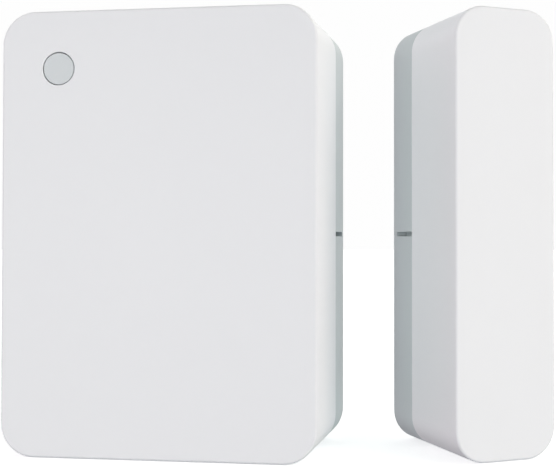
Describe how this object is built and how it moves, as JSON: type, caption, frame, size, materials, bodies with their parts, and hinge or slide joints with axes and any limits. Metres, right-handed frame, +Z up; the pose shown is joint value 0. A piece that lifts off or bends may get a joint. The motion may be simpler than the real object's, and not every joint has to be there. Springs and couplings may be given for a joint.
{
  "type": "door contact sensor",
  "caption": "Two-piece door contact sensor: a boxy radio unit with a round push button, and a narrow magnet unit turned at an angle beside it.",
  "frame": {"origin": "centre of the sensor's rear adhesive face, on the plane of the door frame it is stuck to", "axes": "+X from the sensor towards the magnet unit, +Y out of the sensor's back into the door frame, +Z up"},
  "size_m": [0.0714, 0.0271, 0.058],
  "materials": {
    "shell_white": "fine satin mould texture, white",
    "cover_grey": "fine satin mould texture, light grey-green",
    "button_plastic": "smooth translucent grey-white",
    "switch_white": "smooth",
    "foam_tape": "closed-cell foam tape, soft white",
    "board_laminate": "green solder mask",
    "screw_steel": "zinc plated",
    "black_plastic": "moulded black",
    "contact_nickel": "nickel plated spring steel",
    "cell_steel": "nickel plated, lightly brushed",
    "led_resin": "milky resin",
    "tube_glass": "clear, faint green",
    "chip_epoxy": "moulded epoxy",
    "antenna_ceramic": "white fired ceramic",
    "capacitor_ceramic": "brown fired ceramic",
    "magnet_nickel": "nickel plated",
    "foam_grey": "open-cell foam"
  },
  "bodies": {
    "sensor": {"sensor_front_shell": "shell_white", "circuit_board": "board_laminate", "board_screws": "screw_steel", "battery_holder": "black_plastic", "battery_positive_contact": "contact_nickel", "battery_negative_contact": "contact_nickel", "tact_switch_body": "black_plastic", "tact_switch_cover": "contact_nickel", "status_led": "led_resin", "reed_switch_glass": "tube_glass", "reed_switch_blades": "contact_nickel", "radio_chip": "chip_epoxy", "crystal": "contact_nickel", "chip_antenna": "antenna_ceramic", "passive_components": "capacitor_ceramic"},
    "button": {"button_cap": "button_plastic", "tact_switch_plunger": "switch_white"},
    "rear_cover": {"sensor_rear_cover": "cover_grey", "sensor_adhesive_pad": "foam_tape"},
    "battery": {"coin_cell": "cell_steel"},
    "magnet_unit": {"magnet_front_shell": "shell_white", "magnet_rear_cover": "cover_grey", "bar_magnet": "magnet_nickel", "magnet_foam_strip": "foam_grey", "magnet_adhesive_pad": "foam_tape"}
  },
  "joints": [
    {"name": "leaf_swing", "type": "hinge", "parent": "sensor", "child": "magnet_unit", "pos_m": [0.02681, 0.00342, 0], "axis": [0, 0, 1], "range_deg": [-30, 60]},
    {"name": "button_press", "type": "slide", "parent": "sensor", "child": "button", "axis": [0, 1, 0], "range_m": [0, 0.0003], "stiffness_N_per_m": 2000},
    {"name": "cover_removal", "type": "slide", "parent": "sensor", "child": "rear_cover", "axis": [0, 1, 0], "range_m": [0, 0.02]},
    {"name": "battery_removal", "type": "slide", "parent": "sensor", "child": "battery", "axis": [0, 1, 0], "range_m": [0, 0.008]}
  ],
  "couplings": [
    {"joint": "battery_removal", "follows": "cover_removal", "ratio": 0.4}
  ]
}
